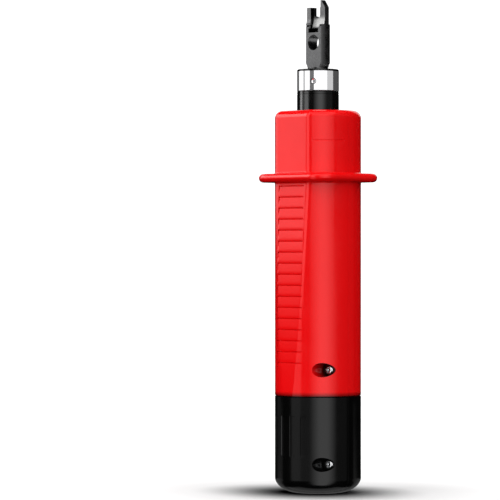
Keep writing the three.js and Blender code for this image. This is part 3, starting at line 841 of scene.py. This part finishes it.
def wire_level(wire, low, high, share):
    """The height of the wire's middle at a share of its turns. The end coils lie closer."""
    eased = share - math.sin(2 * math.pi * share) / (2 * math.pi) * END_CLOSENESS
    return low + wire + (high - low - 2 * wire) * eased


def spring(wire, radius, low, high, turns, start=0, stop=1):
    """A wound wire about Z, or the stretch of it between two shares of its turns."""
    sides, steps = WIRE_SIDES, round(turns * STEPS_A_TURN * (stop - start))
    vertices, faces = [], []
    for i in range(steps + 1):
        share = start + (stop - start) * i / steps
        angle = 2 * math.pi * turns * share
        level = wire_level(wire, low, high, share)
        out = Vector((math.cos(angle), math.sin(angle), 0))
        for k in range(sides):
            around = 2 * math.pi * k / sides
            point = out * (radius + wire * math.cos(around))
            vertices.append((point.x, point.y, level + wire * math.sin(around)))
    for i in range(steps):
        for k in range(sides):
            a, b = i * sides + k, i * sides + (k + 1) % sides
            faces.append([a, b, b + sides, a + sides])
    faces.append(list(range(sides)))
    faces.append([steps * sides + k for k in range(sides)])
    return mesh_object("spring", vertices, faces)


def spring_sizes(node, axis):
    """The wire's radius is listed with the sizes; the coil's radius and ends come from the CAD node."""
    low, high = box_mm(node)
    return low[axis], high[axis], (high.y - low.y) / 2


def add_main_spring():
    """Two stretches of one wire, both on the housing. In the tool the hammer squeezes the upper one and
    the seat nut the lower.
    """
    low, high, outer = spring_sizes("main_spring", 2)
    middle = wire_level(MAIN_WIRE, low, high, MAIN_SPLIT)
    stretches = (
        ("main_spring_piece", MAIN_SPLIT, 1, "hammer_slide", HAMMER_TRAVEL, high - middle),
        ("main_spring_foot", 0, MAIN_SPLIT, "spring_seat_slide", SEAT_TRAVEL, middle - low),
    )
    for name, start, stop, joint, travel, length in stretches:
        part = spring(MAIN_WIRE, outer - MAIN_WIRE, low, high, MAIN_TURNS, start, stop)
        install(part, name, "housing", "spring_steel", "main_spring")
        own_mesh(part)


def add_springs():
    """The three springs, each on the body it rides with. In the tool the main one and the trip plate's
    are squeezed as the plunger goes in.
    """
    add_main_spring()
    low, high, outer = spring_sizes("return_spring", 2)
    light = spring(RETURN_WIRE, outer - RETURN_WIRE, low, high, 6)
    add_piece(light, "return_spring", "plunger", "spring_steel")
    low, high, outer = spring_sizes("trip_spring", 0)
    trip = spring(TRIP_WIRE, outer - TRIP_WIRE, low, high, 4)
    height = sum(corner.z for corner in box_mm("trip_spring")) / 2
    place(trip, 90, "Y", 0, height)
    add_piece(trip, "trip_spring", "hammer", "spring_steel")
    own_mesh(trip)


# Materials

# The sockets of a Mix node that mixes colours: its two colours, and what comes out
MIX_FROM = 6
MIX_TO = 7
MIX_OUT = 2


class Look:
    """A node material around one Principled shader."""

    def __init__(self, name, color, roughness, metallic=0.0, **sockets):
        self.name = name
        self.material = bpy.data.materials.new(name)
        self.material.use_nodes = True
        self.nodes = self.material.node_tree.nodes
        self.links = self.material.node_tree.links
        self.shader = self.nodes["Principled BSDF"]
        self.color = (*color, 1.0)
        self.shader.inputs["Base Color"].default_value = self.color
        self.shader.inputs["Roughness"].default_value = roughness
        self.shader.inputs["Metallic"].default_value = metallic
        for socket, value in sockets.items():
            self.shader.inputs[socket.replace("_", " ")].default_value = value

    def put(self, socket, value):
        """Links another node's output to a socket, or sets the socket to a plain value."""
        if isinstance(value, bpy.types.NodeSocket):
            self.links.new(value, socket)
        else:
            socket.default_value = value

    def node(self, kind, **inputs):
        made = self.nodes.new("ShaderNode" + kind)
        for socket, value in inputs.items():
            self.put(made.inputs[socket.replace("_", " ")], value)
        return made

    def position(self):
        """The place on the piece, in the tool's own metres."""
        return self.node("TexCoord").outputs["Object"]

    def noise(self, scale, stretch=(1, 1, 1), detail=3.0, distortion=0.0):
        """Noise that is finer along an axis that is stretched."""
        mapping = self.node("Mapping", Vector=self.position(), Scale=stretch)
        noise = self.node("TexNoise", Vector=mapping.outputs["Vector"], Scale=scale, Detail=detail,
                          Distortion=distortion)
        return noise.outputs["Fac"]

    def remap(self, value, low, high, start=0.3, end=0.7):
        made = self.node("MapRange", Value=value, From_Min=start, From_Max=end, To_Min=low, To_Max=high)
        return made.outputs["Result"]

    def math(self, operation, *values):
        made = self.node("Math")
        made.operation = operation
        for socket, value in zip(made.inputs, values):
            self.put(socket, value)
        return made.outputs["Value"]

    def vary_roughness(self, value, low, high):
        self.put(self.shader.inputs["Roughness"], self.remap(value, low, high))

    def tint(self, mask, color):
        """Turns the colour so far into another one where the mask is 1."""
        base = self.shader.inputs["Base Color"]
        mix = self.node("Mix", Factor=mask)
        mix.data_type = "RGBA"
        self.put(mix.inputs[MIX_FROM], base.links[0].from_socket if base.is_linked else self.color)
        self.put(mix.inputs[MIX_TO], (*color, 1.0))
        self.put(base, mix.outputs[MIX_OUT])

    def vary_color(self, value, other, most):
        self.tint(self.remap(value, 0.0, most), other)

    def inside(self, *ranges):
        """One within (axis, start, end) ranges in mm, easing from 0 at each start to 1 at its end."""
        places = self.node("SeparateXYZ", Vector=self.position()).outputs
        mask = None
        for axis, start, end in ranges:
            inside = self.remap(places[axis], 0, 1, start * MM, end * MM)
            mask = self.math("MULTIPLY", mask, inside) if mask else inside
        return mask

    def around_screw(self, level, radius, shallow, deep):
        """One near the axis of a level's two screws, easing in between two places along it."""
        places = self.node("SeparateXYZ", Vector=self.position()).outputs
        side = self.math("SIGN", places["Y"])
        x = self.math("MULTIPLY_ADD", places["X"], side, SCREW_X * MM)
        z = self.math("SUBTRACT", places["Z"], level * MM)
        squares = self.math("ADD", self.math("MULTIPLY", x, x), self.math("MULTIPLY", z, z))
        distance = self.math("SQRT", squares)
        near = self.remap(distance, 0, 1, (radius + 0.05) * MM, (radius - 0.05) * MM)
        depth = self.math("ABSOLUTE", places["Y"])
        return self.math("MULTIPLY", near, self.remap(depth, 0, 1, shallow * MM, deep * MM))

    def bump(self, layers):
        """Bumps from (value, height in mm) pairs, one on another."""
        normal = None
        for value, height in layers:
            made = self.node("Bump", Height=value, Strength=1.0, Distance=height * MM)
            if normal:
                self.put(made.inputs["Normal"], normal)
            normal = made.outputs["Normal"]
        self.put(self.shader.inputs["Normal"], normal)


def moulded_plastic(name, color, shadow, roughness, grain, metallic=0.0):
    """Moulded plastic: fine grain, slow colour drift, and rubbed and duller patches."""
    look = Look(name, color, roughness, metallic, Specular_IOR_Level=0.5)
    look.vary_color(look.noise(90, detail=5.0), shadow, 0.5)
    look.vary_roughness(look.noise(160, detail=6.0), roughness * 0.85, roughness * 1.2)
    look.bump([(look.noise(2600, detail=2.0), grain), (look.noise(300, detail=1.0), grain)])
    return look


def red_plastic():
    """The housing's glossy red, with painted shade where it meets the cap and down the screw recesses.
    """
    look = moulded_plastic("red_plastic", (0.74, 0.0025, 0.0035), (0.7, 0.002, 0.003), 0.125,
                           0.0006, 0.12)
    # Painted shade: the red darkens down towards its seam with the cap.
    look.tint(look.inside(("Z", SEAM_SHADE_TOP, BODY_BOTTOM)), (0.02, 0.001, 0.001))
    # Painted shade inside the screw recesses, darkest near their floors.
    recess = look.around_screw(BODY_SCREW_LEVEL, RECESS_RADIUS + 0.08, BODY_RADIUS - 2, -HEAD_FACE)
    look.tint(recess, (0.02, 0.0, 0.0))
    return look


def turned_metal(name, color, other, roughness, depth, metallic=1.0):
    """Metal with the fine rings that turning leaves, and slow stains."""
    look = Look(name, color, roughness, metallic)
    rings = look.noise(60, stretch=(1, 1, 120), detail=3.0)
    look.vary_color(look.noise(220, detail=5.0), other, 0.6)
    smears = look.noise(400, stretch=(1, 1, 8), detail=5.0)
    look.vary_roughness(smears, roughness * 0.75, roughness * 1.35)
    look.bump([(rings, depth)])
    return look


def zinc_steel():
    """Bright screws with painted shade in their cross recesses."""
    look = turned_metal("zinc_steel", (0.85, 0.86, 0.88), (0.7, 0.71, 0.72), 0.18, 0.001)
    for level in (BODY_SCREW_LEVEL, CAP_SCREW_LEVEL):
        # Painted shade: each cross recess darkens towards its bottom.
        hole = look.around_screw(level, 0.75, -HEAD_FACE - 0.1, -HEAD_FACE - 0.35)
        look.tint(hole, (0.01, 0.01, 0.01))
    return look


def ground_steel(name, color, other, roughness):
    """Dark tool steel: scuffs along the blade and cloudy oxide."""
    look = Look(name, color, roughness, 1.0)
    scratches = look.noise(900, stretch=(6, 6, 0.6), detail=6.0, distortion=0.4)
    look.vary_color(look.noise(350, detail=6.0), other, 0.8)
    look.vary_roughness(look.noise(700, detail=5.0), roughness * 0.8, roughness * 1.3)
    look.bump([(scratches, 0.002), (look.noise(2400, detail=3.0), 0.0015)])
    return look


def blade_steel():
    """The blade's dark steel. The fork's scooped faces are milled bare, and the walls and the window
    beside them are painted near black as shade."""
    look = ground_steel("blade_steel", (0.21, 0.21, 0.212), (0.17, 0.17, 0.173), 0.3)
    depth = (("Y", FORK_REAR - 0.05, FORK_REAR - 0.3), ("Y", FORK_FRONT + 0.1, FORK_FRONT + 0.3))
    bare = look.inside(
        *depth, ("Z", SCOOP_LEVEL + 0.5, SCOOP_LEVEL - 1.2), ("Z", WINDOW_TOP, WINDOW_TOP + 0.9),
        ("X", PRONG_INNER + 0.02, PRONG_INNER + 0.12), ("X", FORK_HALF_WIDTH, FORK_HALF_WIDTH - 0.1))
    look.tint(bare, (0.4, 0.4, 0.395))
    look.put(look.shader.inputs["Metallic"], look.remap(bare, 1.0, 0.35, 0.0, 1.0))
    ledge = ("Z", WINDOW_BOTTOM - 0.2, WINDOW_BOTTOM)
    wall = look.inside(
        *depth, ("X", PRONG_INNER + 0.1, PRONG_INNER + 0.02),
        ("X", POCKET_LEFT - 0.2, POCKET_LEFT - 0.1), ledge)
    window = look.inside(
        *depth, ledge, ("Z", WINDOW_TOP + 0.4, WINDOW_TOP),
        ("X", POCKET_LEFT - 0.5, POCKET_LEFT - 0.4), ("X", POCKET_RIGHT, POCKET_RIGHT - 0.1))
    # Painted shade: the pocket's inner walls and the deep window are darkened near black.
    for mask in (wall, window):
        look.tint(mask, (0.012, 0.012, 0.012))
    return look


LOOKS = (
    red_plastic(),
    moulded_plastic("black_plastic", (0.001, 0.001, 0.001), (0.0015, 0.0015, 0.0015), 0.17, 0.0006),
    turned_metal("chrome", (0.93, 0.93, 0.94), (0.86, 0.86, 0.87), 0.05, 0.0004),
    moulded_plastic("black_oxide", (0.002, 0.002, 0.002), (0.003, 0.003, 0.003), 0.16, 0.0008),
    blade_steel(),
    turned_metal("tool_steel", (0.35, 0.35, 0.36), (0.25, 0.25, 0.26), 0.3, 0.002),
    zinc_steel(),
    turned_metal("spring_steel", (0.5, 0.5, 0.52), (0.36, 0.36, 0.38), 0.28, 0.001),
    moulded_plastic("acetal", (0.82, 0.8, 0.74), (0.74, 0.72, 0.66), 0.42, 0.003),
    moulded_plastic("rubber", (0.02, 0.02, 0.02), (0.035, 0.035, 0.033), 0.75, 0.006),
)
MATERIALS = {look.name: look.material for look in LOOKS}


def dress_cad_nodes():
    """The inner pieces that nothing replaces stay as the CAD made them, with real materials."""
    for row in frame["record"]["subparts"]:
        node = frame["nodes"][row["node"]]
        node.data.materials.clear()
        node.data.materials.append(MATERIALS[row["material_slot"]])
        DRESSED.setdefault(row["material_slot"], []).append(node)


# Stage
# Distances and heights here are metres, and the lens is millimetres.
# A pair of bearings is where a panel starts and ends, in degrees round the tool.

TOOL_BEARING = 45
EYE_LEVEL = 0.0944
EYE_DISTANCE = 1.17
LENS = 216
OFF_CENTRE = 0.0265
FAR_PANEL = 1.5
NEAR_PANEL = 0.4
SHADOW_INNER = 0.010
SHADOW_OUTER = 0.0545
SHADOW_SHIFT = (0.0035, 0, 0)
SHADOW_SQUEEZE = 1.2
FLOOR_WHITE = 0.62
FLOOR_GLOW = 0.4
GLOW_START = 0.15
WORLD_IN_REFLECTIONS = 0.003
WORLD_SEEN = 1.2
FLANK = (-79, -46)
BESIDE = (-130, -86)
FADE_STEPS = 6
FADE_HEIGHT = 0.016
SIDE_FADE_TOP = 0.118
FLOOR_HEIGHTS = (-1.2, -0.22)


def toward(bearing, elevation=0.0):
    """A direction from the tool. Bearing 0 is the camera's side, and 90 is the picture's right."""
    a = math.radians(TOOL_BEARING + bearing)
    e = math.radians(elevation)
    return Vector((math.sin(a) * math.cos(e), -math.cos(a) * math.cos(e), math.sin(e)))


def aim(obj, target):
    obj.rotation_euler = (target - obj.location).to_track_quat("-Z", "Y").to_euler()


def add_camera():
    data = bpy.data.cameras.new("camera")
    data.lens = LENS
    camera = add_object("camera", data)
    centre = Vector((0, 0, EYE_LEVEL))
    camera.location = centre + toward(0) * EYE_DISTANCE
    aim(camera, centre - toward(90) * OFF_CENTRE)
    bpy.context.scene.camera = camera


# The collection of pieces for each group of slots that lights are limited to
RECEIVERS = {}


def wearers(slots):
    """The collection of all pieces that wear one of the slots' materials."""
    if slots not in RECEIVERS:
        RECEIVERS[slots] = bpy.data.collections.new("wearers")
        for slot in slots:
            for obj in DRESSED.get(slot, []):
                RECEIVERS[slots].objects.link(obj)
    return RECEIVERS[slots]


def add_light(name, kind, location, target, slots):
    """A light that isn't seen itself. Without slots it lights every piece."""
    light = add_object(name, bpy.data.lights.new(name, kind))
    light.location = location
    light.visible_camera = False
    if slots:
        light.light_linking.receiver_collection = wearers(tuple(slots))
    aim(light, target)
    return light


def soft_box(name, location, target, width, height, radiance, slots):
    """A soft box that shows only in reflections, and only on the pieces that wear the slots."""
    light = add_light(name, "AREA", location, target, slots)
    light.visible_diffuse = False
    light.data.shape = "RECTANGLE"
    light.data.size = width
    light.data.size_y = height
    light.data.energy = radiance * math.pi * width * height


def panel(name, bearings, radiance, slots, heights=(-0.5, 1.5), distance=FAR_PANEL):
    """An upright soft box that faces the tool, between two bearings and two heights."""
    width = 2 * distance * math.tan(math.radians(bearings[1] - bearings[0]) / 2)
    middle = Vector((0, 0, sum(heights) / 2))
    location = middle + toward(sum(bearings) / 2) * distance
    soft_box(name, location, middle, width, heights[1] - heights[0], radiance, slots)


def graded(name, outer, inner, radiance, slots, heights=(-0.5, 1.5), count=8):
    """Nested panels that add up to the radiance inside, and fade towards the outer bearings."""
    for i in range(count):
        share = i / (count - 1)
        start = outer[0] + (inner[0] - outer[0]) * share
        end = outer[1] + (inner[1] - outer[1]) * share
        panel(f"{name}_{i}", (start, end), radiance / count, slots, heights)


def soft_light(name, bearing, elevation, spread, strength, slots=()):
    """A wide soft light that shows only in the diffuse shading. Its spread is in degrees."""
    light = add_light(name, "SUN", toward(bearing, elevation), Vector((0, 0, 0)), slots)
    light.visible_glossy = False
    light.data.angle = math.radians(spread)
    light.data.energy = strength * math.pi


def add_world():
    """White behind the tool, and dark in its reflections."""
    scene = bpy.context.scene
    scene.view_settings.view_transform = "Standard"
    scene.view_settings.look = "None"
    world = bpy.data.worlds.new("studio")
    scene.world = world
    world.use_nodes = True
    world.cycles.sampling_method = "NONE"
    path = world.node_tree.nodes.new("ShaderNodeLightPath")
    white = world.node_tree.nodes.new("ShaderNodeMapRange")
    white.inputs["To Min"].default_value = WORLD_IN_REFLECTIONS
    white.inputs["To Max"].default_value = WORLD_SEEN
    world.node_tree.links.new(path.outputs["Is Camera Ray"], white.inputs["Value"])
    background = world.node_tree.nodes["Background"]
    world.node_tree.links.new(white.outputs["Result"], background.inputs["Color"])


def add_floor():
    """A white floor that glows more away from the tool, with a painted soft shadow round the tool's
    foot.
    """
    floor = prism("floor", circle(3000, 96), -3, 0, "Z")
    look = Look("floor", (0.0, 0.0, 0.0), 0.9)
    mapping = look.node("Mapping", Vector=look.position(), Location=SHADOW_SHIFT,
                        Scale=(1, SHADOW_SQUEEZE, 1), Rotation=(0, 0, math.radians(-TOOL_BEARING)))
    length = look.node("VectorMath", Vector=mapping.outputs["Vector"])
    length.operation = "LENGTH"
    distance = length.outputs["Value"]
    # A painted shadow: the floor's colour darkens towards the tool's foot.
    painted_shadow_fade = look.node("MapRange", Value=distance, From_Min=SHADOW_INNER, From_Max=SHADOW_OUTER)
    painted_shadow_fade.interpolation_type = "SMOOTHSTEP"
    grain = look.remap(look.noise(4, detail=2.0), FLOOR_WHITE * 0.98, FLOOR_WHITE)
    look.put(look.shader.inputs["Base Color"], look.math("MULTIPLY", painted_shadow_fade.outputs["Result"], grain))
    look.put(look.shader.inputs["Emission Color"], (1, 1, 1, 1))
    # The floor glows, more away from the tool, so that it reads white past the painted shadow.
    glow = look.remap(distance, 0.0, FLOOR_GLOW, SHADOW_OUTER, GLOW_START)
    look.put(look.shader.inputs["Emission Strength"], glow)
    floor.data.materials.append(look.material)
    floor.visible_glossy = False
    floor.visible_diffuse = False
    floor.visible_shadow = False


def add_panels(prefix, slots, rows):
    """A panel for each (name, bearings, radiance) row, which may go on with heights and distance."""
    for name, bearings, radiance, *place in rows:
        panel(f"{prefix}_{name}", bearings, radiance, slots, *place)


def add_red_panels():
    """A front box with a hot core, a left one for the grip's rounded corner, and one beside
    the flat that fades towards the floor."""
    red = ("red_plastic", "acetal", "rubber")
    upper = (0.09, 1.5)
    graded("red_front", (-22, 42), (6, 20), 0.9, red, upper)
    panel("red_front_edge", (-20, 43.5), 0.3, red, upper)
    graded("red_front_low", (-22, 53), (5, 24), 1.2, red, (-0.5, 0.09))
    add_panels("red", red, (
        ("left", FLANK, 1.2, (0.105, 1.5), 0.6),
        ("left_middle", FLANK, 0.85, (0.08, 0.105), 0.6),
        ("left_low", FLANK, 0.5, (-0.5, 0.08), 0.6),
        ("right", (52, 110), 0.035),
        ("side", BESIDE, 1.35, (SIDE_FADE_TOP, 0.215), NEAR_PANEL),
        ("side_core", BESIDE, 3.2, (0.215, 0.43), NEAR_PANEL),
    ))
    for i in range(FADE_STEPS):
        top = SIDE_FADE_TOP - FADE_HEIGHT * i
        share = 1 - (i + 1) / (FADE_STEPS + 1)
        heights = (top - FADE_HEIGHT, top)
        panel(f"red_side_fade_{i}", BESIDE, 1.15 * share ** 3, red, heights, NEAR_PANEL)
    panel("red_behind", (150, 210), 0.8, red, (0.35, 1.2))


def add_black_panels():
    """The same studio, dimmer, for the black cap."""
    black = ("black_plastic",)
    graded("black_front", (-24, 51), (2, 28), 1.15, black, (-3, 1.5))
    add_panels("black", black, (
        ("left", (-76, -47), 0.32), ("left_core", (-67, -56), 0.2), ("gap", (-47, -24), 0.16),
        ("right", (52, 84), 0.08), ("side", (-138, -118), 0.05),
    ))


def add_oxide_panels():
    """Brighter bands on the left for the black sleeve and ring."""
    oxide = ("black_oxide",)
    graded("oxide_front", (-24, 47), (4, 22), 1.7, oxide)
    add_panels("oxide", oxide, (
        ("left", (-79, -54), 2.6), ("left_edge", (-100, -79), 0.6), ("side", (-114, -98), 4.2),
        ("right", (44, 86), 0.15),
    ))


def add_metal_panels():
    """Crisp bands for the bright collar, the screws and the inner pieces, all round the tool."""
    add_panels("metal", ("chrome", "zinc_steel", "tool_steel", "spring_steel"), (
        ("front", (-22, 52), 1.2), ("gap", (-46, -22), 0.17), ("left", (-77, -46), 1.2),
        ("left_edge", (-88, -77), 0.5), ("side", (-127, -88), 1.25), ("side_edge", (-165, -127), 0.14),
        ("right", (52, 92), 0.62), ("back_right", (92, 146), 0.08),
    ))


def add_blade_panels():
    """A plain grey side for the blade's flat, a bright one above it for the scooped faces, and
    a front box that fades before the picture's right."""
    steel = ("blade_steel",)
    add_panels("blade", steel, (
        ("side", (-127, -84), 0.85, (0.05, 0.235), NEAR_PANEL),
        ("side_core", (-127, -84), 2.0, (0.235, 0.5), NEAR_PANEL),
        ("right", (46, 70), 0.15), ("left", (-77, -46), 0.8),
    ))
    graded("blade_front", (-18, 46), (-6, 18), 0.9, steel, count=4)


def add_low_panels():
    """What the floor behind and beside the tool reflects into its dark and bright pieces."""
    dull = ("red_plastic", "acetal", "rubber", "black_plastic")
    pieces = [slot for slot in DRESSED if slot not in dull]
    for i, bearings in enumerate(((60, 135), (135, 225), (225, 300))):
        panel(f"floor_{i}", bearings, 0.8, pieces, FLOOR_HEIGHTS)
    panel("floor_black", (110, 250), 0.15, ("black_plastic",), FLOOR_HEIGHTS)
    behind = toward(180, -62) * FAR_PANEL
    soft_box("floor_behind", behind, Vector((0, 0, 0)), 1.6, 1.1, 0.3, ("black_plastic",))


def add_stage():
    add_world()
    add_floor()
    soft_light("sky", -10, 45, 160, 1.48)
    soft_light("key", -60, 40, 50, 0.36)
    soft_light("rear_sky", 180, 30, 110, 0.7)
    soft_light("red_fill", 70, 20, 120, 0.14, ("red_plastic",))
    add_red_panels()
    add_black_panels()
    add_oxide_panels()
    add_metal_panels()
    add_blade_panels()
    add_low_panels()
    eye = Vector((0, 0, EYE_LEVEL))
    above = eye + toward(14, 60) * FAR_PANEL
    others = [slot for slot in DRESSED if slot != "red_plastic"]
    soft_box("above", above, eye, 1.6, 1.2, 2.5, others)
    soft_box("red_above", above, eye, 1.6, 1.2, 0.75, ("red_plastic",))


# Assembly

def add_pair(front, name, body, slot):
    """A front piece and its rear twin, in place of the two CAD nodes."""
    rear = twin(front)
    install(front, f"{name}_front_piece", body, slot)
    install(rear, f"{name}_rear_piece", body, slot)


def add_piece(obj, name, body, slot):
    install(obj, f"{name}_piece", body, slot)


add_camera()
dress_cad_nodes()
add_pair(housing_half(), "housing", "housing", "red_plastic")
add_pair(cap_half(), "cap", "cap", "black_plastic")
add_pair(screw(BODY_SCREW_LEVEL), "body_screw", "housing", "zinc_steel")
add_pair(screw(CAP_SCREW_LEVEL), "cap_screw", "cap", "zinc_steel")
add_piece(collar(), "lock_collar", "plunger", "chrome")
add_piece(end_ring(), "end_ring", "plunger", "black_oxide")
add_piece(sleeve(), "nose_sleeve", "plunger", "black_oxide")
add_piece(blade(), "blade", "blade", "blade_steel")
add_piece(bayonet_pin(BAYONET_ANGLE), "bayonet_pin_front", "plunger", "chrome")
add_piece(bayonet_pin(BAYONET_ANGLE + 180), "bayonet_pin_rear", "plunger", "chrome")
add_springs()
add_stage()
